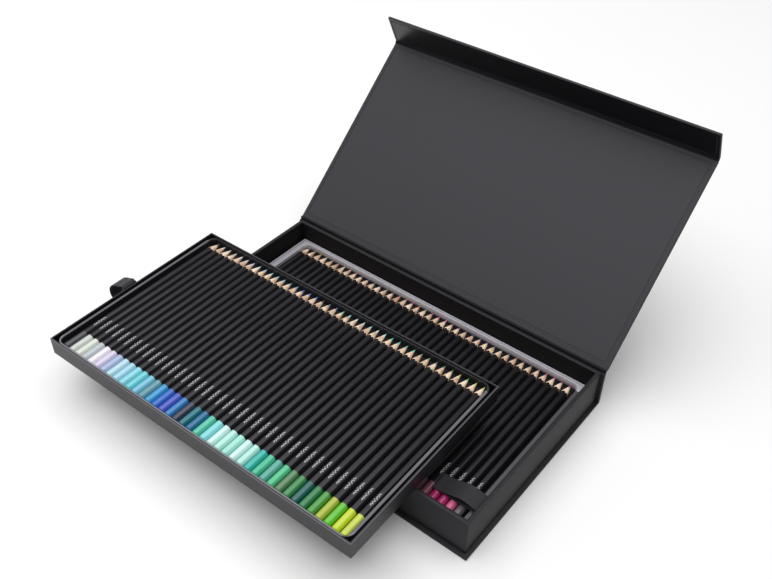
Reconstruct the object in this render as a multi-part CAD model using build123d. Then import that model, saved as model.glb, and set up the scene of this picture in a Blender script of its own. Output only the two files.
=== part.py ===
from build123d import *
from math import cos, radians, sin, tan
import os

os.makedirs("parts", exist_ok=True)

# ---------------------------------------------------------------- driving sizes (mm)
# case: four walls on a bottom board, with a spine, a lid and a front flap
CASE_W = 330.9          # outside of the walls, left to right (X)
CASE_D = 190.5          # outside of the walls, front to back (Y)
STACK_GAP = 1.4         # rim above the two stacked trays
WALL_T = 3.1            # side wall board
BOTTOM_T = 2.5          # bottom board
OVERHANG = 3.2          # cover boards stand out past the walls by this much
SPINE_T = 3.2           # spine board behind the rear wall
LINING_T = 0.4          # paper lining inside the case
LINING_DROP = 0.5       # lining stops this far below the rim

# lid and flap
FLAP_GAP = 3.3          # shut flap in front of the front wall
LID_T = 2.5             # lid board
LID_ANGLE = 138.4       # opening angle of the lid, 0 = shut
FLAP_SHORT = 4.6        # shut flap ends this far above the table
FLAP_T = 2.5            # flap board
FLAP_ANGLE = 73.3       # fold of the flap towards the inside, 0 = in line with the lid
CREASE_R = 1.2          # rolled paper crease
CREASE_GAP = 0.3        # running gap between a crease and the moving board
CREASE_RELIEF = 0.5     # slant of the lid's hinge edge
SHEET_T = 0.3           # lining sheets of lid and flap
SHEET_INSET_LID = 5.0   # border left round the lid lining
SHEET_INSET_FLAP = 3.0  # border left round the flap lining

# closure
MAGNET_L = 20.0
MAGNET_H = 10.0
MAGNET_T = 1.2
MAGNET_IN = 55.5        # middle of a magnet from the end wall's face
MAGNET_DROP = 17.3      # and below the rim when the flap is shut
KEEPER_L = 22.0
KEEPER_H = 12.0
KEEPER_T = 0.8
POCKET_GAP = 0.1        # clearance round a magnet or a keeper plate

# pencil trays (the two are alike)
TRAY_GAP_X = 3.2        # tray to lining, each end
TRAY_GAP_Y = 0.6        # tray to lining, front and back
TRAY_H = 16.5
CARD_T = 1.5            # folded card wall
CARD_FLOOR_T = 1.0
FORM_GAP_X = 2.25       # card wall to formed insert, each end
FORM_GAP_Y = 0.3        # and at front and back
FORM_R = 8.0            # the insert's outer corner radius
FORM_DROP = 1.0         # its lip below the tray's rim
FORM_T = 0.8            # formed sheet
LIP_X = 2.6             # lip width at the left and right ends
LIP_Y = 1.5             # lip width at front and back
WELL_R_BACK = 5.5       # corner radius of the well behind the points
WELL_R_FRONT = 0.9      # corner radius of the well at the dipped ends
PENCIL_SUNK = 1.0       # pencils lie this far below the lip
RIDGE_W = 2.6           # low formed ridge between two pencils
RIDGE_H = 1.2

# pencils
PENCIL_AC = 7.5         # across corners
PENCIL_GAP = 0.03       # between neighbours
END_GAP = 0.35          # pencil to the well, each end
SIDE_GAP = 0.2          # last pencil to the well's end, on the side the row is pushed to
DIP_L = 20.3            # coloured dipped end
CONE_ANGLE = 15.0       # half angle of the sharpened cone
CONE_SIDES = 12
LEAD_SIDES = 6
LEAD_R = 1.25           # where the lead leaves the wood
LEAD_TIP_R = 0.22       # slightly blunt point
BLOCKS = 4              # the row is handled as this many blocks of pencils

# where the two trays lie
UPPER_OUT_X = 34.2      # upper tray stands out past the left wall
UPPER_OUT_Y = 74.1      # and past the front wall
UPPER_YAW = 0.86

# ribbon loops
RIBBON_W = 16.0         # lower loop
RIBBON_W_UPPER = 13.8
RIBBON_T = 0.4
ROLL_R = 0.45           # rolled fold that a loop swings on
ROLL_GAP = 0.3
TAIL_L = 12.0           # glued tail below the rim
UPPER_RIBBON_BACK = 84.45   # middle of the upper loop from the tray's front face
LOWER_RIBBON_BACK = 27.15   # middle of the lower loop from the tray's front face
LOOP_REACH = 41.0       # lower loop, from its fold to its far end
LOOP_RISE = 4.0         # crown of the lower loop above its fold
LOOP_LIE = 6.0          # end of the lower loop that lies flat on the pencils
LOOP_BEND = 0.35        # radius of its far fold
LOOP_FOOT = 4.9         # its lower leg starts to climb this far before the lip
HANG_OUT = 22.6         # upper loop, how far it stands out
HANG_DOWN = 23.0        # upper loop, how far it hangs down
HANG_CLOSE = 1.6        # where its two legs meet, below the fold
REST_GAP = 0.1          # loop above what it lies on
ROLL_LIFT = 0.2         # fold above the rim

# ---------------------------------------------------------------- derived places
CASE_H = BOTTOM_T + LINING_T + 2 * TRAY_H + STACK_GAP
COVER_W = CASE_W + 2 * OVERHANG
HINGE_Y = CASE_D / 2 + SPINE_T
HINGE_Z = CASE_H
LID_L = CASE_D + SPINE_T + FLAP_GAP
FLAP_L = CASE_H - FLAP_SHORT
MAGNET_X = CASE_W / 2 - MAGNET_IN
MAGNET_Z = CASE_H - MAGNET_DROP
CAVITY_W = CASE_W - 2 * WALL_T
CAVITY_D = CASE_D - 2 * WALL_T
LOWER_Z = BOTTOM_T + LINING_T
TRAY_W = CAVITY_W - 2 * LINING_T - 2 * TRAY_GAP_X
TRAY_D = CAVITY_D - 2 * LINING_T - 2 * TRAY_GAP_Y
FORM_W = TRAY_W - 2 * CARD_T - 2 * FORM_GAP_X
FORM_D = TRAY_D - 2 * CARD_T - 2 * FORM_GAP_Y
FORM_TOP = TRAY_H - FORM_DROP
WELL_W = FORM_W - 2 * LIP_X
WELL_D = FORM_D - 2 * LIP_Y
PENCIL_L = WELL_D - 2 * END_GAP
PITCH = PENCIL_AC + PENCIL_GAP
N_PENCILS = int((WELL_W - 2 * SIDE_GAP) / PITCH)
UPPER_ROW_X = WELL_W / 2 - SIDE_GAP - (N_PENCILS * PITCH - PENCIL_GAP) / 2
LOWER_ROW_X = -UPPER_ROW_X
UPPER_X = TRAY_W / 2 - CASE_W / 2 - UPPER_OUT_X
UPPER_Y = TRAY_D / 2 - CASE_D / 2 - UPPER_OUT_Y
UPPER_RIBBON_Y = UPPER_RIBBON_BACK - TRAY_D / 2
LOWER_RIBBON_Y = LOWER_RIBBON_BACK - TRAY_D / 2
PENCIL_AF = PENCIL_AC * cos(radians(30))
BED_Z = FORM_TOP - PENCIL_SUNK - PENCIL_AF
PENCIL_Z = BED_Z + PENCIL_AF / 2
BACK_Y = -PENCIL_L / 2
DIP_Y = BACK_Y + DIP_L
APEX_Y = PENCIL_L / 2 + LEAD_TIP_R / tan(radians(CONE_ANGLE))


def cone_y(radius):
    """Where the sharpened cone has this radius."""
    return APEX_Y - radius / tan(radians(CONE_ANGLE))


def box(x0, x1, y0, y1, z0, z1):
    return Pos((x0 + x1) / 2, (y0 + y1) / 2, z0) * extrude(Rectangle(x1 - x0, y1 - y0), z1 - z0)


def rod_x(length, radius, y, z):
    return Plane((-length / 2, y, z), x_dir=(0, 1, 0), z_dir=(1, 0, 0)) * extrude(Circle(radius), length)


def save(node, *solids):
    shape = solids[0] if len(solids) == 1 else Compound(children=list(solids))
    shape.label = node
    export_step(shape, "parts/" + node + ".step")


# ---------------------------------------------------------------- case
bottom_board = box(-COVER_W / 2, COVER_W / 2, -CASE_D / 2 - OVERHANG, HINGE_Y, 0, BOTTOM_T)
save("bottom_board", bottom_board)

crease = rod_x(COVER_W, CREASE_R, HINGE_Y, HINGE_Z)
spine = box(-COVER_W / 2, COVER_W / 2, CASE_D / 2, HINGE_Y, BOTTOM_T, CASE_H) - crease
save("spine_board", spine)
save("lid_crease", crease)

keeper_pocket = Plane((0, -CASE_D / 2 + WALL_T, 0), x_dir=(1, 0, 0), z_dir=(0, -1, 0))
front = box(-CASE_W / 2, CASE_W / 2, -CASE_D / 2, -CASE_D / 2 + WALL_T, BOTTOM_T, CASE_H)
keepers = []
for side in (-1, 1):
    spot = keeper_pocket * Pos(side * MAGNET_X, MAGNET_Z, 0)
    front -= spot * extrude(Rectangle(KEEPER_L + 2 * POCKET_GAP, KEEPER_H + 2 * POCKET_GAP), KEEPER_T + POCKET_GAP)
    keepers.append(spot * Pos(0, 0, POCKET_GAP) * extrude(Rectangle(KEEPER_L, KEEPER_H), KEEPER_T))
save("wall_front", front)
save("keeper_plates", *keepers)
save("wall_back", box(-CASE_W / 2, CASE_W / 2, CASE_D / 2 - WALL_T, CASE_D / 2, BOTTOM_T, CASE_H))
save("wall_left", box(-CASE_W / 2, -CAVITY_W / 2, -CAVITY_D / 2, CAVITY_D / 2, BOTTOM_T, CASE_H))
save("wall_right", box(CAVITY_W / 2, CASE_W / 2, -CAVITY_D / 2, CAVITY_D / 2, BOTTOM_T, CASE_H))

lining = box(-CAVITY_W / 2, CAVITY_W / 2, -CAVITY_D / 2, CAVITY_D / 2, BOTTOM_T, CASE_H - LINING_DROP)
lining -= box(-CAVITY_W / 2 + LINING_T, CAVITY_W / 2 - LINING_T,
              -CAVITY_D / 2 + LINING_T, CAVITY_D / 2 - LINING_T, LOWER_Z, CASE_H)
save("case_lining", lining)

# ---------------------------------------------------------------- lid and flap
# in the lid's frame Y runs from the hinge to the flap crease and +Z faces the inside
a = radians(LID_ANGLE)
lid_frame = Plane((0, HINGE_Y, HINGE_Z), x_dir=(1, 0, 0), z_dir=(0, -sin(a), -cos(a)))
flap_frame = lid_frame.location * Location((0, LID_L, 0), (FLAP_ANGLE, 0, 0))
START = CREASE_R + CREASE_GAP


def board(y0, y1, y0_outer, thick):
    """A cover board as a side profile run across the width."""
    side = Plane((-COVER_W / 2, 0, 0), x_dir=(0, 1, 0), z_dir=(1, 0, 0))
    return extrude(side * make_face(Polyline((y0, 0), (y1, 0), (y1, -thick), (y0_outer, -thick), close=True)), COVER_W)


def sheet_inset(y0, y1, inset):
    return Pos(0, (y0 + y1) / 2, -SHEET_T) * extrude(
        Rectangle(COVER_W - 2 * inset, y1 - y0 - 2 * inset), SHEET_T)


lid_sheet = sheet_inset(START, LID_L - START, SHEET_INSET_LID)
lid_board = board(START, LID_L - START, START + CREASE_RELIEF, LID_T) - lid_sheet
save("lid_board", lid_frame * lid_board)
save("lid_lining", lid_frame * lid_sheet)
save("flap_crease", lid_frame * rod_x(COVER_W, CREASE_R, LID_L, 0))

flap_sheet = sheet_inset(START, FLAP_L, SHEET_INSET_FLAP)
flap_board = board(START, FLAP_L, START, FLAP_T) - flap_sheet
magnets = []
for side in (-1, 1):
    spot = Pos(side * MAGNET_X, HINGE_Z - MAGNET_Z, -SHEET_T - MAGNET_T)
    flap_board -= Pos(0, 0, -POCKET_GAP) * spot * extrude(
        Rectangle(MAGNET_L + 2 * POCKET_GAP, MAGNET_H + 2 * POCKET_GAP), MAGNET_T + POCKET_GAP)
    magnets.append(spot * extrude(Rectangle(MAGNET_L, MAGNET_H), MAGNET_T))
save("flap_board", flap_frame * flap_board)
save("flap_lining", flap_frame * flap_sheet)
save("flap_magnets", *[flap_frame * m for m in magnets])

# ---------------------------------------------------------------- trays
card = box(-TRAY_W / 2, TRAY_W / 2, -TRAY_D / 2, TRAY_D / 2, 0, TRAY_H)
card -= box(-TRAY_W / 2 + CARD_T, TRAY_W / 2 - CARD_T, -TRAY_D / 2 + CARD_T, TRAY_D / 2 - CARD_T, CARD_FLOOR_T, TRAY_H)


def formed_insert(row_x):
    """Thin formed sheet: a rounded lip, a sunk well and a ridged bed, hollow underneath."""
    skin = Pos(0, 0, CARD_FLOOR_T) * extrude(RectangleRounded(FORM_W, FORM_D, FORM_R), FORM_TOP - CARD_FLOOR_T)
    well = Rectangle(WELL_W, WELL_D)
    well = fillet(well.vertices().group_by(Axis.Y)[-1], WELL_R_BACK)
    well = fillet(well.vertices().group_by(Axis.Y)[0], WELL_R_FRONT)
    skin -= Pos(0, 0, BED_Z) * extrude(well, FORM_TOP)
    skin -= Pos(0, 0, CARD_FLOOR_T) * extrude(
        RectangleRounded(FORM_W - 2 * FORM_T, FORM_D - 2 * FORM_T, FORM_R - FORM_T), BED_Z - FORM_T - CARD_FLOOR_T)
    across = Plane((0, -WELL_D / 2, 0), x_dir=(1, 0, 0), z_dir=(0, -1, 0))
    ridge = across * make_face(Polyline((-RIDGE_W / 2, BED_Z - FORM_T / 2), (-RIDGE_W / 2, BED_Z), (0, BED_Z + RIDGE_H),
                                        (RIDGE_W / 2, BED_Z), (RIDGE_W / 2, BED_Z - FORM_T / 2), close=True))
    ridge = extrude(ridge, -WELL_D)
    at = [row_x + (i - N_PENCILS / 2) * PITCH for i in range(N_PENCILS + 1)]
    return skin + [Pos(x, 0, 0) * ridge for x in at if abs(x) + RIDGE_W / 2 < WELL_W / 2]


# ---------------------------------------------------------------- one pencil, point towards +Y
def along(y):
    return Plane((0, y, PENCIL_Z), x_dir=(1, 0, 0), z_dir=(0, 1, 0))


WOOD_Y = cone_y(PENCIL_AF / 2)                  # where the cone just touches the flats
hexagon = RegularPolygon(PENCIL_AC / 2, 6)


def sharpen(block, sides, first=0.0):
    """Flat cuts through the cone's apex, set round the axis like the facets of a point."""
    slope = radians(CONE_ANGLE)
    for i in range(sides):
        turn = radians(first + 360 * i / sides)
        out = (cos(turn) * cos(slope), sin(slope), sin(turn) * cos(slope))
        block = split(block, Plane((0, APEX_Y, PENCIL_Z), z_dir=out), keep=Keep.BOTTOM)
    return block


def blank(r, y0, y1):
    """Round bar blank that the sharpening cuts all over."""
    return extrude(along(y0) * RegularPolygon(r + 1.0, CONE_SIDES, major_radius=False), y1 - y0)


# the cuts run into the six corners, which leaves the scalloped edge of the lacquer
barrel = sharpen(extrude(along(DIP_Y) * hexagon, WOOD_Y - DIP_Y), 6)
wood = sharpen(blank(PENCIL_AF / 2, WOOD_Y, cone_y(LEAD_R)), CONE_SIDES)
lead = sharpen(blank(LEAD_R, cone_y(LEAD_R), cone_y(LEAD_TIP_R)), LEAD_SIDES)
dip = extrude(along(BACK_Y) * hexagon, DIP_L)


def pencils(prefix, row_x, seat):
    for g in range(BLOCKS):
        block = range(g * N_PENCILS // BLOCKS, (g + 1) * N_PENCILS // BLOCKS)
        at = [row_x + (i - (N_PENCILS - 1) / 2) * PITCH for i in block]
        for name, piece in (("barrels", barrel), ("cones", wood), ("leads", lead), ("dips", dip)):
            save("%s_%s_%d" % (prefix, name, g + 1), *[seat * Pos(x, 0, 0) * piece for x in at])


# ---------------------------------------------------------------- ribbon loops
def ribbon(path, width, y):
    """A flat band: the path in the X-Z plane, given its thickness and run along Y."""
    place = Plane((0, y + width / 2, 0), x_dir=(1, 0, 0), z_dir=(0, -1, 0))
    runs = [extrude(place * trace(edge, RIBBON_T), width) for edge in path]
    return (runs[0] + runs[1:]).clean()


def tail(side, width, y, roll_x, roll_z):
    """The glued end on the outside of the tray wall, rolled over at the rim."""
    x0, x1 = TRAY_W / 2, TRAY_W / 2 + RIBBON_T
    strip = box(x0, x1, y - width / 2, y + width / 2, TRAY_H - TAIL_L, roll_z)
    roll = Plane((roll_x, y + width / 2, roll_z), x_dir=(1, 0, 0), z_dir=(0, -1, 0)) * extrude(Circle(ROLL_R), width)
    both = strip + roll
    return both if side > 0 else mirror(both, about=Plane.YZ)


ROLL_X = TRAY_W / 2 + ROLL_R
ROLL_Z = TRAY_H + ROLL_R + ROLL_LIFT
START_X = ROLL_X - ROLL_R - ROLL_GAP - RIBBON_T / 2


def arcs(points, tangent):
    """Arcs through the points, each going on in the direction of the last."""
    out = []
    for p, q in zip(points, points[1:]):
        out.append(TangentArc(p, q, tangent=tangent))
        tangent = out[-1] % 1
    return out


# lower loop: folded inwards, it arches over the pencils and lies on them at its far end
low_z = BED_Z + PENCIL_AF + REST_GAP + RIBBON_T / 2
fold_x = ROLL_X - LOOP_REACH
first = (START_X, ROLL_Z)
crown = (START_X - 0.42 * (START_X - fold_x - LOOP_LIE), ROLL_Z + LOOP_RISE)
lie = (fold_x + LOOP_LIE, low_z + 2 * LOOP_BEND)
down = ((crown[0] + lie[0]) / 2, (crown[1] + lie[1]) / 2)
upper_leg = arcs([crown, down], (-1, 0)) + arcs([crown, first], (1, 0)) + arcs([lie, down], (1, 0)) + [Line(lie, (fold_x, lie[1]))]
turn = ThreePointArc((fold_x, lie[1]), (fold_x - LOOP_BEND, low_z + LOOP_BEND), (fold_x, low_z))
foot = (WELL_W / 2 - LOOP_FOOT, low_z)
lower_leg = [Line((fold_x, low_z), foot), Line(foot, (TRAY_W / 2 - CARD_T, TRAY_H + REST_GAP + RIBBON_T)),
             Line((TRAY_W / 2 - CARD_T, TRAY_H + REST_GAP + RIBBON_T), first)]
lower_loop = ribbon(upper_leg + [turn] + lower_leg, RIBBON_W, LOWER_RIBBON_Y)

# upper loop: stands out from the left wall and hangs in a drop
out_x = ROLL_X + ROLL_R + ROLL_GAP + RIBBON_T / 2
meet = (-out_x - HANG_CLOSE / 2, ROLL_Z - HANG_CLOSE)
bottom = (-ROLL_X - 0.80 * HANG_OUT, ROLL_Z - HANG_DOWN)
back = (-ROLL_X - 0.40 * HANG_OUT, ROLL_Z - 0.81 * HANG_DOWN)
drop = arcs([(-out_x, ROLL_Z), (-ROLL_X - 0.71 * HANG_OUT, ROLL_Z - 0.19 * HANG_DOWN),
             (-ROLL_X - HANG_OUT, ROLL_Z - 0.62 * HANG_DOWN), bottom], (-1, 0.12))
drop += [Line((-out_x, ROLL_Z), meet), Line(meet, back)]
drop += arcs([back, bottom], (back[0] - meet[0], back[1] - meet[1]))
upper_loop = ribbon(drop, RIBBON_W_UPPER, UPPER_RIBBON_Y)

# ---------------------------------------------------------------- upper tray, set down askew on the rim
upper = Location((UPPER_X, UPPER_Y, CASE_H), (0, 0, UPPER_YAW))
save("upper_card", upper * card)
save("upper_form", upper * formed_insert(UPPER_ROW_X))
save("upper_ribbon_tail", upper * tail(-1, RIBBON_W_UPPER, UPPER_RIBBON_Y, ROLL_X, ROLL_Z))
save("upper_ribbon", upper * upper_loop)
pencils("upper", UPPER_ROW_X, upper)

# ---------------------------------------------------------------- lower tray, on the floor of the case
lower = Location((0, 0, LOWER_Z))
save("lower_card", lower * card)
save("lower_form", lower * formed_insert(LOWER_ROW_X))
save("lower_ribbon_tail", lower * tail(1, RIBBON_W, LOWER_RIBBON_Y, ROLL_X, ROLL_Z))
save("lower_ribbon", lower * lower_loop)
pencils("lower", LOWER_ROW_X, lower)
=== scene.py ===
import math

import bmesh
import bpy
from mathutils import Matrix, Vector


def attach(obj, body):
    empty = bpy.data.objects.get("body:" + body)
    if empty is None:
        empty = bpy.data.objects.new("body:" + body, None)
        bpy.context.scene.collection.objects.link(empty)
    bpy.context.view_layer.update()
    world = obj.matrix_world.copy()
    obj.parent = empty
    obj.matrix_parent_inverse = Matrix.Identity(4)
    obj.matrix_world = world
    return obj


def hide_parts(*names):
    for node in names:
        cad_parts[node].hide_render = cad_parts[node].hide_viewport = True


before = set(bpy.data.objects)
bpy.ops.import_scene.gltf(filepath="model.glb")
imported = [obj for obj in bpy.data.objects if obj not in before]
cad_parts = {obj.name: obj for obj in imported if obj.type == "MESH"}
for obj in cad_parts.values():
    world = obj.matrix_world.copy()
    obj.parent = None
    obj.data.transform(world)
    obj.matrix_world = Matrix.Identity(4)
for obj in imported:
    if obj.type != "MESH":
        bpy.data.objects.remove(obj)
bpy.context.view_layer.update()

MM = 0.001
DEG = math.pi / 180


# ---------------------------------------------------------------- shader maths
def feed(tree, socket, value):
    """Links a value that comes from a node, and sets any other."""
    if isinstance(value, Line):
        tree.links.new(value.socket, socket)
    elif hasattr(value, "is_output"):
        tree.links.new(value, socket)
    else:
        socket.default_value = value


def node(tree, kind, settings=None, *values, **named):
    """One node: its settings first, then its inputs in order or by name, as values or links."""
    n = tree.nodes.new(kind)
    for key, value in (settings or {}).items():
        setattr(n, key, value)
    for i, value in enumerate(values):
        feed(tree, n.inputs[i], value)
    for key, value in named.items():
        feed(tree, n.inputs[key.replace("_", " ")], value)
    return n


class Line:
    """A number that varies over a surface, with arithmetic on it."""

    def __init__(self, tree, socket):
        self.tree, self.socket = tree, socket

    def maths(self, operation, *values):
        n = node(self.tree, "ShaderNodeMath", {"operation": operation}, *values)
        return Line(self.tree, n.outputs[0])

    def __add__(self, other):
        return self.maths("ADD", self, other)

    def __sub__(self, other):
        return self.maths("SUBTRACT", self, other)

    def __rsub__(self, other):
        return self.maths("SUBTRACT", other, self)

    def __mul__(self, other):
        return self.maths("MULTIPLY", self, other)

    __radd__ = __add__
    __rmul__ = __mul__

    def wave(self):
        return self.maths("SINE", self)

    def size(self):
        return self.maths("ABSOLUTE", self)

    def within(self, low, high):
        return self.maths("GREATER_THAN", self, low) * self.maths("LESS_THAN", self, high)

    def ramp(self, low, high, first=0.0, last=1.0):
        """Goes smoothly from first, at low, to last, at high."""
        smooth = {"interpolation_type": "SMOOTHSTEP"}
        n = node(self.tree, "ShaderNodeMapRange", smooth, self, low, high, first, last)
        return Line(self.tree, n.outputs[0])


class Finish:
    """A material in the making."""

    def __init__(self, name):
        self.material = bpy.data.materials.new(name)
        self.material.use_nodes = True
        self.tree = self.material.node_tree
        self.shader = self.tree.nodes["Principled BSDF"]
        self.at = node(self.tree, "ShaderNodeTexCoord").outputs["Object"]

    def mark(self, name):
        """A number that the mesh carries."""
        n = node(self.tree, "ShaderNodeAttribute", {"attribute_name": name})
        return Line(self.tree, n.outputs["Fac"])

    def tint(self, name):
        """A colour that the mesh carries."""
        return node(self.tree, "ShaderNodeAttribute", {"attribute_name": name}).outputs["Color"]

    def noise(self, scale, detail=2.0, stretch=(1, 1, 1), rough=0.5):
        place = node(self.tree, "ShaderNodeMapping", None, self.at, (0, 0, 0), (0, 0, 0), stretch).outputs[0]
        n = node(self.tree, "ShaderNodeTexNoise", None,
                 Vector=place, Scale=scale, Detail=detail, Roughness=rough)
        return Line(self.tree, n.outputs["Fac"])

    def blend(self, amount, none, full):
        """One colour where the amount is 0, and the other where it is 1."""
        n = node(self.tree, "ShaderNodeMix", {"data_type": "RGBA"})
        for i, value in ((0, amount), (6, none), (7, full)):
            feed(self.tree, n.inputs[i], value)
        return n.outputs[2]

    def bump(self, height, depth, strength):
        n = node(self.tree, "ShaderNodeBump", None, Height=height, Distance=depth, Strength=strength)
        feed(self.tree, self.shader.inputs["Normal"], n.outputs[0])

    def set(self, **named):
        for key, value in named.items():
            feed(self.tree, self.shader.inputs[key.replace("_", " ")], value)


# ---------------------------------------------------------------- finishes
COOL = (0.95, 0.93, 1.0, 1)
# the greys of the painted highlights on the card and sheet rims
CARD_PAINTED_HIGHLIGHT = (0.52, 0.51, 0.56, 1)
SHEET_PAINTED_HIGHLIGHT = ((0.50, 0.49, 0.54, 1), (0.56, 0.55, 0.60, 1))
WOOD_DARK, WOOD_PALE = (0.52, 0.33, 0.21, 1), (0.92, 0.74, 0.57, 1)
SILVER = (0.55, 0.55, 0.56, 1)
FLOOR_GREYS = ((0.85, 0.85, 0.85, 1), (0.87, 0.87, 0.87, 1))
RIB_PITCH = 0.9 * MM
# the silver line on a barrel, measured along it from the pencil's middle
FOIL_FROM, FOIL_MIDDLE, FOIL_TO = -57.5 * MM, -51 * MM, -45 * MM
SWAY_BROAD, SWAY_FINE, SWAY_FADE = 2600.0, 4300.0, 110.0


def tone(value):
    """A grey with the slight violet cast of the coated papers."""
    return (value * 1.03, value, value * 1.2, 1)


def wrap_paper(name, shade=0.004):
    """Matt black wrap paper with a faint fibre."""
    f = Finish(name)
    fibre = f.noise(900.0, 3.0, (1, 1, 1), 0.6)
    cloud = f.noise(14.0)
    f.set(Base_Color=f.blend((fibre - 0.4) * 0.5 + cloud * 0.5, tone(shade), tone(shade * 1.5)),
          Roughness=0.50 + fibre * 0.12, Specular_IOR_Level=0.42, Specular_Tint=COOL)
    f.bump(fibre, 0.04 * MM, 0.5)
    return f.material


def lining_paper(name, shade, smooth, gloss=0.5):
    """Smooth coated paper of the linings, borders and creases."""
    f = Finish(name)
    fibre = f.noise(1300.0, 2.0, (1, 1, 1), 0.65)
    cloud = f.noise(9.0)
    f.set(Base_Color=f.blend(cloud * 0.6 + (fibre - 0.5) * 0.5, tone(shade), tone(shade * 1.25)),
          Roughness=smooth + fibre * 0.1, Specular_IOR_Level=gloss, Specular_Tint=COOL)
    f.bump(fibre, 0.03 * MM, 0.4)
    return f.material


def tray_card(name):
    """Black card, with a painted highlight on parts of its rim, and lighter along the rim's outer edge."""
    f = Finish(name)
    fibre = f.noise(1100.0)
    # the rim mark blends in the painted highlight grey
    f.set(Base_Color=f.blend(f.mark("pale"), f.blend(fibre, tone(0.003), tone(0.006)), CARD_PAINTED_HIGHLIGHT),
          Roughness=0.38 + fibre * 0.15, Specular_Tint=COOL)
    f.bump(fibre, 0.03 * MM, 0.4)
    return f.material


def formed_sheet(name):
    """Thin formed plastic sheet, satin with a fine grain, with a painted highlight on parts of its rim."""
    f = Finish(name)
    grain = f.noise(2200.0, 1.0)
    soft = f.noise(30.0)
    black = f.blend(soft, tone(0.008), tone(0.013))
    # the rim mark blends in the painted highlight greys
    f.set(Base_Color=f.blend(f.mark("pale"), black, f.blend(soft, *SHEET_PAINTED_HIGHLIGHT)),
          Roughness=0.34 + grain * 0.12, Specular_Tint=COOL)
    f.bump(grain, 0.02 * MM, 0.35)
    return f.material


def grosgrain(name):
    """Charcoal ribbon with fine ribs across its width."""
    f = Finish(name)
    ribs = (f.mark("along") * (2 * math.pi / RIB_PITCH)).wave() * 0.5 + 0.5
    thread = f.noise(2600.0)
    f.set(Base_Color=f.blend(ribs * 0.6 + thread * 0.4, tone(0.010), tone(0.032)), Roughness=0.7,
          Sheen_Weight=0.2, Sheen_Roughness=0.4, Specular_IOR_Level=0.35)
    f.bump(ribs * 0.8 + thread * 0.4, 0.12 * MM, 0.7)
    return f.material


def wood_colour(f):
    """Bare wood with its grain along the pencil, and that grain by itself."""
    grain = f.noise(700.0, 3.0, (1.0, 0.06, 1.0), 0.6)
    band = f.noise(160.0, 2.0, (1.0, 0.25, 1.0))
    return f.blend((grain * 0.4 + band * 0.6).ramp(0.36, 0.62), WOOD_DARK, WOOD_PALE), grain


def pencil_lacquer(name):
    """Matt black barrel lacquer with a wavy silver line; the cut corners of the point are bare wood."""
    f = Finish(name)
    bare, along, over = f.mark("bare"), f.mark("along"), f.mark("over")
    wood, grain = wood_colour(f)
    cloud = f.noise(60.0)
    from_middle = along - FOIL_MIDDLE
    sway = (from_middle * SWAY_BROAD).wave() * (0.8 * MM) + (along * SWAY_FINE).wave() * (0.5 * MM)
    off_line = (over - sway * (1 - (from_middle * SWAY_FADE).size())).size()
    foil = off_line.ramp(0.2 * MM, 0.45 * MM, 1.0, 0.0) * along.within(FOIL_FROM, FOIL_TO) * (1 - bare)
    coat = f.blend(foil, f.blend(cloud, tone(0.005), tone(0.009)), SILVER)
    f.set(Base_Color=f.blend(bare, coat, wood), Roughness=bare.ramp(0.4, 0.6, 0.28, 0.62) + cloud * 0.08,
          Specular_IOR_Level=0.42, Specular_Tint=COOL)
    f.bump(grain * bare, 0.05 * MM, 0.5)
    return f.material


def bare_wood(name):
    """The sharpened cone of a pencil."""
    f = Finish(name)
    wood, grain = wood_colour(f)
    f.set(Base_Color=wood, Roughness=0.6 + grain * 0.1, Specular_IOR_Level=0.3)
    f.bump(grain, 0.06 * MM, 0.5)
    return f.material


def wax_lead(name):
    """Coloured lead, slightly dusty."""
    f = Finish(name)
    dust = f.noise(1500.0)
    f.set(Base_Color=f.blend(dust * 0.25, f.tint("tint"), tone(0.9)), Roughness=0.42 + dust * 0.2,
          Specular_IOR_Level=0.4)
    f.bump(dust, 0.04 * MM, 0.5)
    return f.material


def dip_lacquer(name):
    """Glossy coloured lacquer, a little darker where it pooled."""
    f = Finish(name)
    pool = f.noise(120.0, 2.0, (1, 0.4, 1))
    f.set(Base_Color=f.blend(pool * 0.12, f.tint("tint"), tone(0.0)), Roughness=0.26 + pool * 0.1,
          Specular_IOR_Level=0.5, Coat_Weight=0.25, Coat_Roughness=0.15)
    f.bump(pool, 0.06 * MM, 0.3)
    return f.material


def plated(name, shade):
    """Brushed bright metal."""
    f = Finish(name)
    brush = f.noise(500.0, 2.0, (0.05, 1, 1))
    f.set(Base_Color=f.blend(brush, tone(shade * 0.8), tone(shade)), Metallic=1.0,
          Roughness=0.25 + brush * 0.2)
    f.bump(brush, 0.02 * MM, 0.4)
    return f.material


def table_top(name):
    """Plain pale floor."""
    f = Finish(name)
    f.set(Base_Color=f.blend(f.noise(3.0), *FLOOR_GREYS), Roughness=0.9, Specular_IOR_Level=0.1)
    return f.material


WRAP = wrap_paper("black_wrap_paper")
COVER = wrap_paper("cover_wrap_paper", 0.011)
LINING = lining_paper("lid_lining_paper", 0.014, 0.5)
LID_BORDER = lining_paper("lid_border_wrap", 0.012, 0.5)
# the flap's lining paper, much darker than the lid's: painted shade for the flap's face that turns down
FLAP_LINING_PAINTED_SHADE = lining_paper("flap_lining_paper_painted_shade", 0.003, 0.26)
CREASE = lining_paper("crease_wrap_paper", 0.004, 0.75, 0.3)
CASE_LINING = lining_paper("case_lining_paper", 0.004, 0.7, 0.25)
CARD = tray_card("black_tray_card")
FORM = formed_sheet("formed_tray_sheet")
RIBBON = grosgrain("grosgrain_ribbon")
LACQUER = pencil_lacquer("matt_black_lacquer")
WOOD = bare_wood("sharpened_wood")
LEAD = wax_lead("coloured_wax_lead")
DIP = dip_lacquer("dipped_colour_lacquer")
STEEL = plated("keeper_steel", 0.5)
NICKEL = plated("magnet_plating", 0.62)

# ---------------------------------------------------------------- mesh helpers
SAME = 1e-7         # two heights this near are the same height
SHARP = 32 * DEG    # a bend above this is left sharp
RING_GAP = 50 * MM  # between two loops while they are bridged


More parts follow.
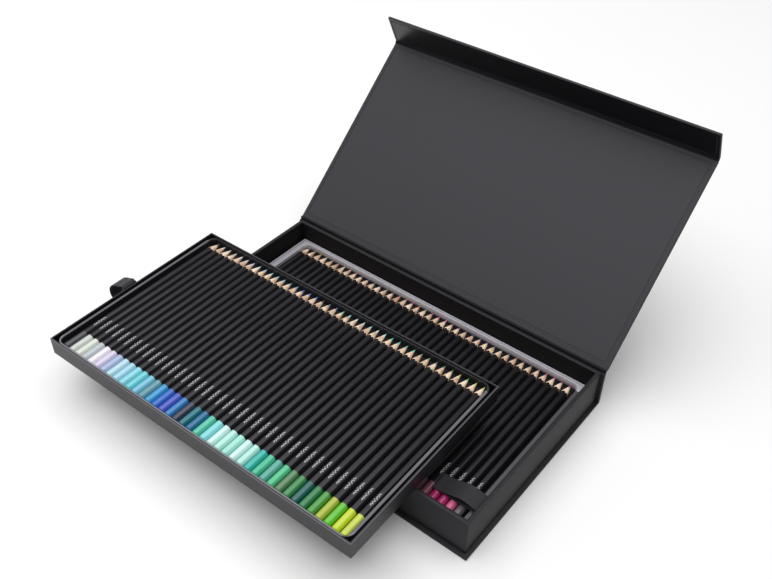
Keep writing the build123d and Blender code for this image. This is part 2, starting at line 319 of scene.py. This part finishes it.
def finished(name, bm, materials, body, cad_nodes, place=None):
    """Turns a bmesh into a piece that rides on a body and stands for its CAD nodes."""
    if place is not None:
        bmesh.ops.transform(bm, matrix=place, verts=bm.verts)
    mesh = bpy.data.meshes.new(name)
    bm.to_mesh(mesh)
    bm.free()
    for material in materials:
        mesh.materials.append(material)
    piece = bpy.data.objects.new(name, mesh)
    bpy.context.scene.collection.objects.link(piece)
    for face in mesh.polygons:
        face.use_smooth = True
    mesh.set_sharp_from_angle(angle=SHARP)
    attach(piece, body)
    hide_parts(*cad_nodes)


def spun(bm, verts, angle, axis):
    bmesh.ops.rotate(bm, cent=(0, 0, 0), matrix=Matrix.Rotation(angle, 3, axis), verts=verts)


def rounded(bm, edges, width, steps):
    bmesh.ops.bevel(bm, geom=list(edges), offset=width, offset_type="OFFSET", segments=steps, profile=0.5,
                    affect="EDGES", material=-1, clamp_overlap=True)


def slab(x0, x1, y0, y1, z0, z1, edge, steps, creases=()):
    """A board with its edges rounded, apart from those that lie along a crease."""
    bm = bmesh.new()
    bmesh.ops.create_cube(bm, size=1.0)
    bmesh.ops.scale(bm, vec=(x1 - x0, y1 - y0, z1 - z0), verts=bm.verts)
    bmesh.ops.translate(bm, vec=((x0 + x1) / 2, (y0 + y1) / 2, (z0 + z1) / 2), verts=bm.verts)
    sharp = [e for e in bm.edges if any(all(abs(v.co.y - y) < SAME for v in e.verts) for y in creases)]
    rounded(bm, [e for e in bm.edges if e not in sharp], edge, steps)
    return bm


def ring_of(bm, w, d, r, z):
    """A rounded rectangle as one closed loop of edges; r is one radius, or one for each corner.

    The corners go back left, back right, front left, front right.
    """
    made = bmesh.ops.create_circle(bm, cap_ends=True, segments=4, radius=math.sqrt(0.5))["verts"]
    spun(bm, made, 45 * DEG, "Z")
    bmesh.ops.scale(bm, vec=(w, d, 1), verts=made)
    bmesh.ops.translate(bm, vec=(0, 0, z), verts=made)
    radii = r if isinstance(r, tuple) else (r, r, r, r)
    corners = [(v, radii[2 * (v.co.y < 0) + (v.co.x > 0)]) for v in made[0].link_faces[0].verts]
    for corner, radius in corners:
        bmesh.ops.bevel(bm, geom=[corner], offset=radius, offset_type="OFFSET", segments=6, profile=0.5,
                        affect="VERTICES", material=-1)
    level = [f for f in bm.faces if all(abs(v.co.z - z) < SAME for v in f.verts)]
    face = max(level, key=lambda f: len(f.verts))
    loop = list(face.edges)
    bmesh.ops.delete(bm, geom=[face], context="FACES_ONLY")
    return loop


def stacked(rings, closed=False):
    """Loops bridged one to the next while they stand well apart, then moved to their own heights."""
    bm = bmesh.new()
    loops = [ring_of(bm, w, d, r, RING_GAP * i) for i, (w, d, r, z) in enumerate(rings)]
    rows = [list({v for e in loop for v in e.verts}) for loop in loops]
    for lower, upper in zip(loops, loops[1:]):
        bmesh.ops.bridge_loops(bm, edges=lower + upper)
    if closed:
        bmesh.ops.bridge_loops(bm, edges=loops[-1] + loops[0])
    else:
        bmesh.ops.contextual_create(bm, geom=loops[-1])
        bmesh.ops.contextual_create(bm, geom=loops[0])
    for i, (row, ring) in enumerate(zip(rows, rings)):
        bmesh.ops.translate(bm, vec=(0, 0, ring[3] - RING_GAP * i), verts=row)
    bmesh.ops.recalc_face_normals(bm, faces=bm.faces)
    return bm


def eased(w, d, radii, top, drop, reach):
    """Three rings round an eased rim, from below it to its flat top, which is wider by reach."""
    return [(w + reach * out, d + reach * out, r, top - drop * down)
            for r, (out, down) in zip(radii, ((0, 1), (0.3, 0.3), (1, 0)))]


# ---------------------------------------------------------------- camera (the photograph's view)
LENS, SENSOR = 43.29, 36.0
CAMERA_AT = Vector((353.94, -433.64, 581.49)) * MM
heading, down, roll = -37.99 * DEG, 40.70 * DEG, 0.85 * DEG
ahead = Vector((math.sin(heading) * math.cos(down), math.cos(heading) * math.cos(down), -math.sin(down)))
level = Vector((math.cos(heading), -math.sin(heading), 0))
upward = level.cross(ahead)
across = level * math.cos(roll) + upward * math.sin(roll)
above = upward * math.cos(roll) - level * math.sin(roll)
lens = bpy.data.cameras.new("view")
lens.sensor_width, lens.lens = SENSOR, LENS
camera = bpy.data.objects.new("view", lens)
camera.matrix_world = Matrix.Translation(CAMERA_AT) @ Matrix((across, above, -ahead)).transposed().to_4x4()
bpy.context.scene.collection.objects.link(camera)
bpy.context.scene.camera = camera

# ---------------------------------------------------------------- places, as the frame has them
CASE_W, CASE_D, CASE_H = 330.9 * MM, 190.5 * MM, 37.3 * MM
WALL, BOTTOM, OVERHANG = 3.1 * MM, 2.5 * MM, 3.2 * MM
COVER_W = CASE_W + 2 * OVERHANG
INSIDE_W, INSIDE_D = CASE_W - 2 * WALL, CASE_D - 2 * WALL
HINGE = Vector((0, CASE_D / 2 + OVERHANG, CASE_H))
LID_L, FLAP_L, BOARD = 197.0 * MM, 32.7 * MM, 2.5 * MM
LID_OPEN, FLAP_FOLD, UPPER_SKEW = 138.4 * DEG, 73.3 * DEG, 0.86 * DEG
lid_axes = Matrix(((1, 0, 0), (0, -math.cos(LID_OPEN), math.sin(LID_OPEN)),
                   (0, -math.sin(LID_OPEN), -math.cos(LID_OPEN)))).transposed().to_4x4()
lid_place = Matrix.Translation(HINGE) @ lid_axes
lid_edge_place = lid_place @ Matrix.Translation((0, LID_L, 0))
flap_place = lid_edge_place @ Matrix.Rotation(FLAP_FOLD, 4, "X")
upper_place = Matrix.Translation((-40.9 * MM, -78.2 * MM, CASE_H)) @ Matrix.Rotation(UPPER_SKEW, 4, "Z")
lower_place = Matrix.Translation((0, 0, 2.9 * MM))

# ---------------------------------------------------------------- case
EDGE = 0.6 * MM             # rounding of a wrapped board
RIM_EDGE, INNER_R = 0.5 * MM, 0.4 * MM
SPINE_EDGE = 0.3 * MM
SPINE_GAP = 0.02 * MM       # keeps the spine board off the back wall
SPINE_SHORT = 1.4 * MM      # the spine board ends under the rolled crease
SIDES = (-COVER_W / 2, COVER_W / 2)

rim_outside = eased(CASE_W, CASE_D, (EDGE, EDGE, INNER_R), CASE_H, RIM_EDGE, -2 * RIM_EDGE)
rim_inside = eased(INSIDE_W, INSIDE_D, (INNER_R, INNER_R, INNER_R), CASE_H, RIM_EDGE, 2 * RIM_EDGE)
walls = stacked([(CASE_W, CASE_D, EDGE, BOTTOM)] + rim_outside + rim_inside[::-1]
                + [(INSIDE_W, INSIDE_D, INNER_R, BOTTOM)], closed=True)
bottom = slab(*SIDES, -CASE_D / 2 - OVERHANG, HINGE.y, 0, BOTTOM, EDGE, 3)
spine = slab(*SIDES, CASE_D / 2 + SPINE_GAP, HINGE.y, BOTTOM, CASE_H - SPINE_SHORT, SPINE_EDGE, 3)
finished("case_walls", walls, [WRAP], "case",
         ["wall_front", "wall_back", "wall_left", "wall_right"])
finished("case_bottom", bottom, [WRAP], "case", ["bottom_board"])
finished("case_spine", spine, [WRAP], "case", ["spine_board"])

# ---------------------------------------------------------------- lid and flap
START = 1.41 * MM           # from a fold line to the board
ROLL_R, ROLL_SHORT = 1.39 * MM, 0.4 * MM
PAPER, PAPER_EDGE = 0.3 * MM, 0.1 * MM
STEP, BELOW = 0.2 * MM, 0.02 * MM   # from the border in to the sheet, and down to it


def cover(part, place, border, end, creases, turned_in):
    """A cover board; its inner side is sunk for a paper sheet, with the wrap turned in round it."""
    bm = slab(*SIDES, START, end, -BOARD, 0, EDGE, 3, creases)
    inner = max(bm.faces, key=lambda f: f.calc_center_median().z * 100 + f.calc_area())
    bmesh.ops.inset_region(bm, faces=[inner], thickness=border - EDGE, depth=0.0)
    bmesh.ops.inset_region(bm, faces=[inner], thickness=STEP, depth=-PAPER)
    bm.normal_update()
    for f in bm.faces:
        f.material_index = 1 if f.normal.z > 0.9 else 0
    finished(f"{part}_cover", bm, [COVER, turned_in], part, [f"{part}_board"], place)


def sheet_of_paper(part, place, border, end, paper):
    """The paper sheet let in to a cover board."""
    inset = border + STEP
    bm = slab(SIDES[0] + inset, SIDES[1] - inset, START + inset, end - inset, -PAPER, -BELOW, PAPER_EDGE, 1)
    finished(f"{part}_sheet", bm, [paper], part, [f"{part}_lining"], place)


def crease(part, body, place):
    """The wrap, rolled along the fold line of a part."""
    bm = bmesh.new()
    bmesh.ops.create_cone(bm, cap_ends=True, segments=24, radius1=ROLL_R, radius2=ROLL_R,
                          depth=COVER_W - ROLL_SHORT)
    spun(bm, bm.verts, 90 * DEG, "Y")
    finished(f"{part}_crease_roll", bm, [CREASE], body, [f"{part}_crease"], place)


LID_END, LID_BORDER_W, FLAP_BORDER_W = LID_L - START, 5 * MM, 3 * MM
crease("lid", "case", Matrix.Translation(HINGE))
crease("flap", "lid", lid_edge_place)
cover("lid", lid_place, LID_BORDER_W, LID_END, (START, LID_END), LID_BORDER)
sheet_of_paper("lid", lid_place, LID_BORDER_W, LID_END, LINING)
cover("flap", flap_place, FLAP_BORDER_W, FLAP_L, (START,), FLAP_LINING_PAINTED_SHADE)
sheet_of_paper("flap", flap_place, FLAP_BORDER_W, FLAP_L, FLAP_LINING_PAINTED_SHADE)

# ---------------------------------------------------------------- trays
TRAY_W, TRAY_D, TRAY_H, CARD_T = 317.5 * MM, 182.3 * MM, 16.5 * MM, 1.5 * MM
TRAY_IN_W, TRAY_IN_D = TRAY_W - 2 * CARD_T, TRAY_D - 2 * CARD_T
CARD_R, CARD_EDGE, CARD_FLOOR, CARD_FOLD = 0.3 * MM, 0.2 * MM, 1.0 * MM, 14.5 * MM
FORM_W, FORM_D, FORM_TOP, BED = 310.0 * MM, 178.7 * MM, 15.5 * MM, 8.005 * MM
FORM_FOOT, FORM_EDGE, FORM_RADII = 1.0 * MM, 0.7 * MM, (8.0 * MM, 7.8 * MM, 7.5 * MM)
BRIM_GAP, BRIM_R = 0.1 * MM, 1.2 * MM
WELL_W, WELL_D, WELL_LIP = 304.8 * MM, 175.7 * MM, 3.2 * MM
BACK_R, ROOMY_R, TIGHT_R = 5.5 * MM, 5.0 * MM, 2.6 * MM
RIDGE_W, RIDGE_H, PITCH, ROW_X = 2.6 * MM, 1.2 * MM, 7.53 * MM, 1.615 * MM
PENCILS = 40                # in one tray
RIM_BAND = 10.5 * MM        # a rim's front and back sides are this wide, with the corners
OUTER_BAND = 0.5 * MM
# the least lightness marked along the outer edge of a card rim
OUTER_EDGE_PALENESS = 0.35


def paint_rim_highlight(bm, low, left, right, front, back):
    """Marks how strong the painted highlight is on each side of a rim above a height, with a set least
    lightness along the rim's outer edge.
    """
    pale = bm.loops.layers.float.new("pale")
    for f in bm.faces:
        c = f.calc_center_median()
        # each side of the rim takes its own strength of painted highlight
        if abs(c.y) > TRAY_D / 2 - RIM_BAND:
            highlight_level = back if c.y > 0 else front
        else:
            highlight_level = right if c.x > 0 else left
        outside = abs(c.x) > TRAY_W / 2 - OUTER_BAND or abs(c.y) > TRAY_D / 2 - OUTER_BAND
        if outside and 0.2 < f.normal.z < 0.95:
            highlight_level = max(highlight_level, OUTER_EDGE_PALENESS)
        flank = max(v.co.z for v in f.verts) > low and abs(f.normal.z) < 0.999
        for corner in f.loops:
            corner[pale] = highlight_level if (flank or f.normal.z > 0.1) and corner.vert.co.z > low else 0.0


def card_tray(tray, place, sides, down):
    """The folded card tray; a painted highlight covers its rim for some way down."""
    e = CARD_EDGE
    bm = stacked([
        (TRAY_W, TRAY_D, CARD_R, 0),
        (TRAY_W, TRAY_D, CARD_R, TRAY_H - 1.7 * e),
        (TRAY_W - 3.4 * e, TRAY_D - 3.4 * e, CARD_R, TRAY_H),
        (TRAY_IN_W + 2 * e, TRAY_IN_D + 2 * e, CARD_R, TRAY_H),
        (TRAY_IN_W, TRAY_IN_D, CARD_R, TRAY_H - e),
        (TRAY_IN_W, TRAY_IN_D, CARD_R, CARD_FOLD),
        (TRAY_IN_W, TRAY_IN_D, CARD_R, CARD_FLOOR)])
    # paints the highlight on the card's rim
    paint_rim_highlight(bm, TRAY_H - down, *sides)
    finished(f"{tray}_card_tray", bm, [CARD], f"{tray}_tray", [f"{tray}_card"], place)


def ridged(bm, row_x):
    """Raises a low ridge between every two pencils out of the flat bed."""
    for i in range(PENCILS + 1):
        x = row_x + (i - PENCILS / 2) * PITCH
        if abs(x) + RIDGE_W / 2 > WELL_W / 2:
            continue
        for foot in (-RIDGE_W / 2, 0, RIDGE_W / 2):
            bed = [f for f in bm.faces if all(abs(v.co.z - BED) < SAME for v in f.verts)]
            around = {g for f in bed for g in (*f.verts, *f.edges)}
            bmesh.ops.bisect_plane(bm, geom=bed + list(around), dist=SAME, plane_co=(x + foot, 0, 0),
                                   plane_no=(1, 0, 0))
        crest = [v for v in bm.verts if abs(v.co.z - BED) < SAME and abs(v.co.x - x) < 1e-6]
        bmesh.ops.translate(bm, vec=(0, 0, RIDGE_H), verts=crest)
    bm.normal_update()


def formed_tray(tray, place, sides, down, row_x):
    """The formed sheet with its sunk well; the one in the case has a brim out to its card tray."""
    e = FORM_EDGE
    near = (ROOMY_R, TIGHT_R) if tray == "upper" else (TIGHT_R, ROOMY_R)
    well = [tuple(r + more for r in (BACK_R, BACK_R, *near)) for more in (0, 0.2 * MM, 0.5 * MM)]
    reach = (TRAY_IN_W - BRIM_GAP, TRAY_IN_D - BRIM_GAP, BRIM_R)
    brim = [] if tray == "upper" else [(*reach, FORM_TOP - e + BRIM_GAP), (*reach, FORM_TOP - 0.3 * e)]
    outside = eased(FORM_W, FORM_D, FORM_RADII, FORM_TOP, e, -2 * e)
    inside = eased(WELL_W, WELL_D, well, FORM_TOP, e, e)
    bm = stacked([(FORM_W, FORM_D, FORM_RADII[0], FORM_FOOT), outside[0]] + brim + outside[1:] + inside[::-1]
                 + [(WELL_W, WELL_D, well[0], FORM_TOP - WELL_LIP), (WELL_W, WELL_D, well[0], BED)])
    ridged(bm, row_x)
    # paints the highlight on the sheet's rim
    paint_rim_highlight(bm, FORM_TOP - down, *sides)
    finished(f"{tray}_formed_tray", bm, [FORM], f"{tray}_tray", [f"{tray}_form"], place)


# for each tray: the strength of the painted highlight on its card and its sheet at the left, right, front and
# back, and how far down it is painted
TRAYS = (
    ("upper", upper_place, ROW_X, (0.01, 0.01, 0.01, 0.03), 0.4 * MM, (0.20, 0.19, 0.32, 0.0), 0.4 * MM),
    ("lower", lower_place, -ROW_X, (0.75, 0.06, 0.02, 0.95), 2.1 * MM, (0.75, 0.10, 0.02, 0.95), 3.3 * MM))
for tray, place, row_x, card_highlight_sides, card_highlight_depth, sheet_highlight_sides, sheet_highlight_depth in TRAYS:
    card_tray(tray, place, card_highlight_sides, card_highlight_depth)
    formed_tray(tray, place, sheet_highlight_sides, sheet_highlight_depth, row_x)

# ---------------------------------------------------------------- ribbon loops
RIBBON_T = 0.4 * MM
GLUED_L, ROLL_UP, END_ROLL_R = 12 * MM, 0.65 * MM, 0.45 * MM
# the middle line of each loop in its tray, across and up, in millimetres
LOWER_LOOP = [
    (158.25, 17.35), (151.5, 20.3), (143.95, 21.15), (134.07, 18.33), (124.2, 15.5), (118.6, 15.4),
    (118.2, 15.15), (118.6, 14.85), (130.0, 14.85), (147.5, 14.85), (157.25, 16.95)]
UPPER_LOOP = [
    (-160.15, 17.1), (-168.6, 15.6), (-175.2, 12.8), (-179.6, 8.6), (-181.6, 2.9), (-180.3, -3.2),
    (-177.3, -5.65), (-173.0, -4.6), (-168.2, -1.5), (-164.0, 6.0), (-161.4, 14.6)]


def band_along(points, width):
    """A closed band that follows a line of points, as a mesh."""
    curve = bpy.data.curves.new("loop_line", "CURVE")
    curve.dimensions, curve.extrude, curve.resolution_u = "3D", width / 2, 10
    line = curve.splines.new("BEZIER")
    line.bezier_points.add(len(points) - 1)
    line.use_cyclic_u = True
    for spot, (x, z) in zip(line.bezier_points, points):
        spot.co = (x * MM, z * MM, 0)
        spot.handle_left_type = spot.handle_right_type = "AUTO"
    holder = bpy.data.objects.new("loop_line", curve)
    mesh = bpy.data.meshes.new_from_object(holder)
    bpy.data.objects.remove(holder)
    bpy.data.curves.remove(curve)
    return mesh


def ribbon_loop(tray, points, width, y, place):
    """A woven strap bent to a loop; how far each point is along it is kept as a mark for the ribs."""
    bm = bmesh.new()
    mesh = band_along(points, width)
    bm.from_mesh(mesh)
    bpy.data.meshes.remove(mesh)
    bmesh.ops.remove_doubles(bm, verts=bm.verts, dist=1e-6)
    run = bm.verts.layers.float.new("along")
    walk = next(v for v in bm.verts if v.co.z > 0)
    total, reached = 0.0, {}
    while walk is not None:
        reached[walk] = total
        others = [e.other_vert(walk) for e in walk.link_edges]
        onward = next((v for v in others if v.co.z > 0 and v not in reached), None)
        if onward is not None:
            total += (onward.co - walk.co).length
        walk = onward
    for v, distance in reached.items():
        v[run] = distance
        for other in [e.other_vert(v) for e in v.link_edges]:
            if other.co.z < 0:
                other[run] = distance
    bmesh.ops.recalc_face_normals(bm, faces=bm.faces)
    bmesh.ops.solidify(bm, geom=bm.faces[:], thickness=RIBBON_T)
    bmesh.ops.recalc_face_normals(bm, faces=bm.faces)
    stand = Matrix.Translation((0, y, 0)) @ Matrix.Rotation(90 * DEG, 4, "X")
    finished(f"{tray}_ribbon_loop", bm, [RIBBON], f"{tray}_loop", [f"{tray}_ribbon"], place @ stand)


def ribbon_end(tray, side, width, y, place):
    """The ribbon's ends, glued down the outside of the tray from a roll at its rim."""
    bm = bmesh.new()
    wall, low, roll_z = TRAY_W / 2, TRAY_H - GLUED_L, TRAY_H + ROLL_UP
    bmesh.ops.create_cube(bm, size=1.0)
    bmesh.ops.scale(bm, vec=(RIBBON_T, width, roll_z - low), verts=bm.verts)
    bmesh.ops.translate(bm, vec=(wall + RIBBON_T / 2, y, (roll_z + low) / 2), verts=bm.verts)
    upright = [e for e in bm.edges if abs(e.verts[0].co.z - e.verts[1].co.z) > 1 * MM]
    bmesh.ops.subdivide_edges(bm, edges=upright, cuts=8)
    rounded(bm, [e for e in bm.edges if all(v.co.z < low + 1e-6 for v in e.verts)], 0.1 * MM, 1)
    run = bm.verts.layers.float.new("along")
    for v in bm.verts:
        v[run] = v.co.z
    roll = bmesh.ops.create_cone(bm, cap_ends=True, segments=20, radius1=END_ROLL_R, radius2=END_ROLL_R,
                                 depth=width)["verts"]
    for v in roll:
        v[run] = roll_z + END_ROLL_R * abs(math.atan2(v.co.y, v.co.x))
    spun(bm, roll, 90 * DEG, "X")
    bmesh.ops.translate(bm, vec=(wall + END_ROLL_R, y, roll_z), verts=roll)
    if side < 0:
        bmesh.ops.scale(bm, vec=(-1, 1, 1), verts=bm.verts)
        bmesh.ops.reverse_faces(bm, faces=bm.faces)
    finished(f"{tray}_ribbon_end", bm, [RIBBON], f"{tray}_tray", [f"{tray}_ribbon_tail"], place)


RIBBONS = (
    ("lower", 1, LOWER_LOOP, 16 * MM, -64 * MM, lower_place),
    ("upper", -1, UPPER_LOOP, 13.8 * MM, -6.7 * MM, upper_place))
for tray, side, points, width, y, place in RIBBONS:
    ribbon_loop(tray, points, width, y, place)
for tray, side, points, width, y, place in RIBBONS:
    ribbon_end(tray, side, width, y, place)

# ---------------------------------------------------------------- pencils
ACROSS_CORNERS, LENGTH, DIP_L = 7.5 * MM, 175.0 * MM, 20.3 * MM
ACROSS_FLATS = ACROSS_CORNERS * math.cos(30 * DEG)
SLOPE, TIP_R, LEAD_R = 15 * DEG, 0.22 * MM, 1.25 * MM
APEX = LENGTH / 2 + TIP_R / math.tan(SLOPE)
HEIGHT = BED + ACROSS_FLATS / 2
BLANK = 1.0 * MM            # a cone is cut from a bar with this much to spare
POINT_CUTS, LEAD_CUTS = 24, 16
BARREL_EDGE, DIP_EDGE, CAP, CAP_PINCH = 0.45 * MM, 1.0 * MM, 0.9 * MM, 0.985
BLOCK = 10


def at_radius(r):
    """How far along the pencil its taper has this radius."""
    return APEX - r / math.tan(SLOPE)


def bar(sides, radius, y0, y1, edge=0.0, turned=0.0):
    """A straight bar along Y; a given edge eases its long edges."""
    bm = bmesh.new()
    bmesh.ops.create_cone(bm, cap_ends=True, segments=sides, radius1=radius, radius2=radius, depth=y1 - y0)
    spun(bm, bm.verts, turned, "Z")
    spun(bm, bm.verts, -90 * DEG, "X")
    bmesh.ops.translate(bm, vec=(0, (y0 + y1) / 2, 0), verts=bm.verts)
    if edge:
        rounded(bm, [e for e in bm.edges if abs(e.verts[0].co.y - e.verts[1].co.y) > 1e-6], edge, 2)
    return bm


def sharpened(bm, cuts):
    """Planes through the apex take the bar down to its taper; the cut faces are marked."""
    cut = bm.faces.layers.int.new("cut")
    for i in range(cuts):
        a = 2 * math.pi * i / cuts
        out = Vector((math.cos(a) * math.cos(SLOPE), math.sin(SLOPE), math.sin(a) * math.cos(SLOPE)))
        got = bmesh.ops.bisect_plane(bm, geom=bm.verts[:] + bm.edges[:] + bm.faces[:], dist=SAME,
                                     plane_co=(0, APEX, 0), plane_no=out, clear_outer=True)
        rim = [g for g in got["geom_cut"] if isinstance(g, bmesh.types.BMEdge) and g.is_boundary]
        if len(rim) > 2:
            for f in bmesh.ops.contextual_create(bm, geom=rim)["faces"]:
                f[cut] = 1
    bmesh.ops.dissolve_degenerate(bm, dist=SAME, edges=bm.edges)
    return bm


def dipped_end():
    """The hexagonal dipped end, with its outer end drawn in a little."""
    tail = -LENGTH / 2
    bm = bar(6, ACROSS_CORNERS / 2, tail, tail + DIP_L, DIP_EDGE, 30 * DEG)
    end = min(bm.faces, key=lambda f: f.calc_center_median().y)
    bmesh.ops.inset_region(bm, faces=[end], thickness=CAP, depth=0.0)
    for v in [v for v in bm.verts if v.co.y < tail + 1e-6 and v not in end.verts]:
        v.co.y += CAP
        v.co.x *= CAP_PINCH
        v.co.z *= CAP_PINCH
    return bm


def part_of_pencil(kind):
    """One barrel, cone, lead or dipped end, with its middle line along Y."""
    if kind == "dips":
        return dipped_end()
    if kind == "barrels":
        start, end = DIP_L - LENGTH / 2, at_radius(ACROSS_FLATS / 2)
        return sharpened(bar(6, ACROSS_CORNERS / 2, start, end, BARREL_EDGE, 30 * DEG), POINT_CUTS)
    if kind == "cones":
        start, end = at_radius(ACROSS_FLATS / 2), at_radius(LEAD_R)
        return sharpened(bar(POINT_CUTS, ACROSS_FLATS / 2 + BLANK, start, end), POINT_CUTS)
    return sharpened(bar(LEAD_CUTS, LEAD_R + BLANK, at_radius(LEAD_R), LENGTH / 2), LEAD_CUTS)


def paint(r, g, b):
    """A colour given in display tones."""
    return tuple((c / 255 / 12.92) if c < 11 else ((c / 255 + 0.055) / 1.055) ** 2.4 for c in (r, g, b))


PIGMENTS = dict(
    # cool range
    slate=(60, 62, 68), fog=(200, 205, 200), bone=(215, 220, 208), pebble=(180, 190, 195),
    white=(235, 230, 238), lilac=(210, 203, 225), haze=(165, 180, 215), ice=(180, 218, 230),
    frost=(160, 210, 230), aqua=(135, 210, 222), lagoon=(105, 203, 212), sky=(115, 190, 215),
    storm=(95, 148, 162), azure=(50, 150, 205), royal=(45, 100, 195), iris=(68, 85, 188),
    cobalt=(42, 120, 185), ink=(45, 48, 72), petrol=(18, 108, 122), denim=(22, 102, 145),
    jade=(80, 190, 160), pool=(130, 215, 218), snow=(200, 235, 230), pale_mint=(178, 230, 220),
    mint=(160, 226, 212), turquoise=(42, 178, 168), sea=(65, 185, 145), lichen=(85, 165, 152),
    spring=(78, 190, 135), moss=(82, 128, 85), meadow=(55, 135, 78), deep_teal=(22, 92, 88),
    fir=(40, 122, 70), leaf=(68, 150, 58), olive=(165, 180, 55), grass=(88, 188, 42),
    lime=(190, 210, 38), pear=(192, 206, 75),
    # warm range
    umber=(150, 110, 60), ochre=(180, 132, 60), honey=(192, 156, 50), cream=(206, 190, 120),
    sand=(170, 140, 95), clay=(186, 124, 94), buff=(222, 204, 162), peach=(226, 178, 144),
    apricot=(224, 144, 90), black=(48, 48, 50), chocolate=(80, 54, 42), mauve=(140, 116, 124),
    brick=(136, 72, 56), coral=(216, 118, 94), rose=(220, 132, 138), magenta=(218, 62, 126),
    orange=(220, 122, 42), tan=(178, 140, 100), fuchsia=(186, 32, 118), crimson=(198, 44, 88),
    pink=(212, 112, 146), scarlet=(178, 28, 48), plum=(112, 36, 82), wine=(92, 26, 48),
    aubergine=(68, 32, 84), violet=(104, 46, 150), orchid=(122, 52, 128), navy=(30, 38, 94),
    deep_sea=(28, 66, 84), rust=(168, 94, 48), maroon=(118, 24, 26), burgundy=(96, 28, 48),
    russet=(148, 84, 66), cerise=(168, 34, 98), blush=(212, 100, 144), ruby=(140, 30, 66),
    raspberry=(176, 40, 108), dusk=(90, 58, 66), dusty_rose=(128, 72, 88), ash=(98, 90, 96))
# the pencils of each tray from the left; the last seven below are dipped in other colours than their leads,
# partly their own colours and partly painted shade for the shade under the ribbon loop
UPPER_ROW = """
    slate fog bone pebble white lilac haze ice frost aqua
    lagoon sky storm azure royal iris cobalt ink petrol denim
    jade pool snow pale_mint mint snow pale_mint turquoise sea lichen
    spring moss meadow deep_teal fir leaf olive grass lime pear""".split()
LOWER_ROW = """
    umber ochre honey cream sand clay buff peach apricot deep_sea
    black slate chocolate mauve brick coral rose magenta orange tan
    fuchsia crimson pink scarlet plum wine aubergine violet orchid navy
    slate deep_sea rust maroon burgundy russet cerise blush ruby raspberry""".split()
# the last seven dip colours are partly the dips' own and partly painted shade from the ribbon loop above them
LOWER_DIPS_WITH_PAINTED_SHADE = LOWER_ROW[:33] + "chocolate dusk dusty_rose cerise raspberry blush ash".split()
FINISH_OF = {
    "barrels": (LACQUER, "lacquer"), "cones": (WOOD, "bare_wood"),
    "leads": (LEAD, "leads_{}_{}"), "dips": (DIP, "dips_{}_{}")}


def block_of(tray, kind, number, row_x, place, colours, body):
    """One part of ten pencils, side by side; each point keeps its place on its own pencil as marks."""
    bm = bmesh.new()
    pattern = bpy.data.meshes.new("pattern")
    source = part_of_pencil(kind)
    source.to_mesh(pattern)
    source.free()
    tints, spots = [], []
    for i in range((number - 1) * BLOCK, number * BLOCK):
        before = len(bm.verts)
        bm.from_mesh(pattern)
        bm.verts.ensure_lookup_table()
        added = bm.verts[before:]
        spots += [(v.co.x, v.co.y) for v in added]
        tints += [(*paint(*PIGMENTS[colours[i]]), 1.0)] * len(added)
        bmesh.ops.translate(bm, vec=(row_x + (i - (PENCILS - 1) / 2) * PITCH, 0, HEIGHT), verts=added)
    bpy.data.meshes.remove(pattern)
    bm.transform(place)
    if kind == "barrels":
        cut = bm.faces.layers.int.get("cut")
        bare = bm.loops.layers.float.new("bare")
        for f in bm.faces:
            for corner in f.loops:
                corner[bare] = float(f[cut])
        along, over = bm.verts.layers.float.new("along"), bm.verts.layers.float.new("over")
        for v, (x, y) in zip(bm.verts, spots):
            v[along], v[over] = y, x
    if kind in ("leads", "dips"):
        tint = bm.verts.layers.float_color.new("tint")
        for v, colour in zip(bm.verts, tints):
            v[tint] = colour
    material, slot = FINISH_OF[kind]
    finished(f"{tray}_{kind}_block_{number}", bm, [material], body,
             [f"{tray}_{kind}_{number}"])


for tray, row_x, place, colours, dips in (("upper", ROW_X, upper_place, UPPER_ROW, UPPER_ROW),
                                          ("lower", -ROW_X, lower_place, LOWER_ROW, LOWER_DIPS_WITH_PAINTED_SHADE)):
    for number in range(1, PENCILS // BLOCK + 1):
        body = "lower_tray" if tray == "lower" and number == 4 else f"{tray}_pencils_{number}"
        for kind in ("barrels", "cones", "leads", "dips"):
            block_of(tray, kind, number, row_x, place, dips if kind == "dips" else colours, body)

# ---------------------------------------------------------------- plain nodes that keep their CAD shape
for node_name, material in (("case_lining", CASE_LINING), ("keeper_plates", STEEL), ("flap_magnets", NICKEL)):
    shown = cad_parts[node_name]
    shown.data.materials.clear()
    shown.data.materials.append(material)

# ---------------------------------------------------------------- floor and light
FLOOR_SIZE, SKY_LIGHT = 6.0, 0.3

ground = bmesh.new()
bmesh.ops.create_grid(ground, x_segments=1, y_segments=1, size=FLOOR_SIZE)
floor_mesh = bpy.data.meshes.new("floor")
ground.to_mesh(floor_mesh)
ground.free()
floor = bpy.data.objects.new("floor", floor_mesh)
bpy.context.scene.collection.objects.link(floor)
floor.data.materials.append(table_top("pale_floor"))


def softbox(name, place, aim, wide, high, watts):
    """A soft rectangular light that faces a point."""
    data = bpy.data.lights.new(name, "AREA")
    data.shape, data.size, data.size_y, data.energy = "RECTANGLE", wide, high, watts
    lamp = bpy.data.objects.new(name, data)
    lamp.location = place
    lamp.rotation_euler = (Vector(aim) - Vector(place)).to_track_quat("-Z", "Y").to_euler()
    bpy.context.scene.collection.objects.link(lamp)


softbox("overhead", place=(-0.4, -0.15, 2.6), aim=(-0.4, -0.15, 0), wide=4.4, high=3.7, watts=108)
softbox("left_front", place=(-2.4, -1.6, 1.1), aim=(-0.1, -0.1, 0.03), wide=1.6, high=1.2, watts=9)
world = bpy.data.worlds.new("studio")
bpy.context.scene.world = world
world.use_nodes = True
world.node_tree.nodes["Background"].inputs["Color"].default_value = (1, 1, 1, 1)
world.node_tree.nodes["Background"].inputs["Strength"].default_value = SKY_LIGHT
bpy.context.scene.view_settings.view_transform = "Standard"
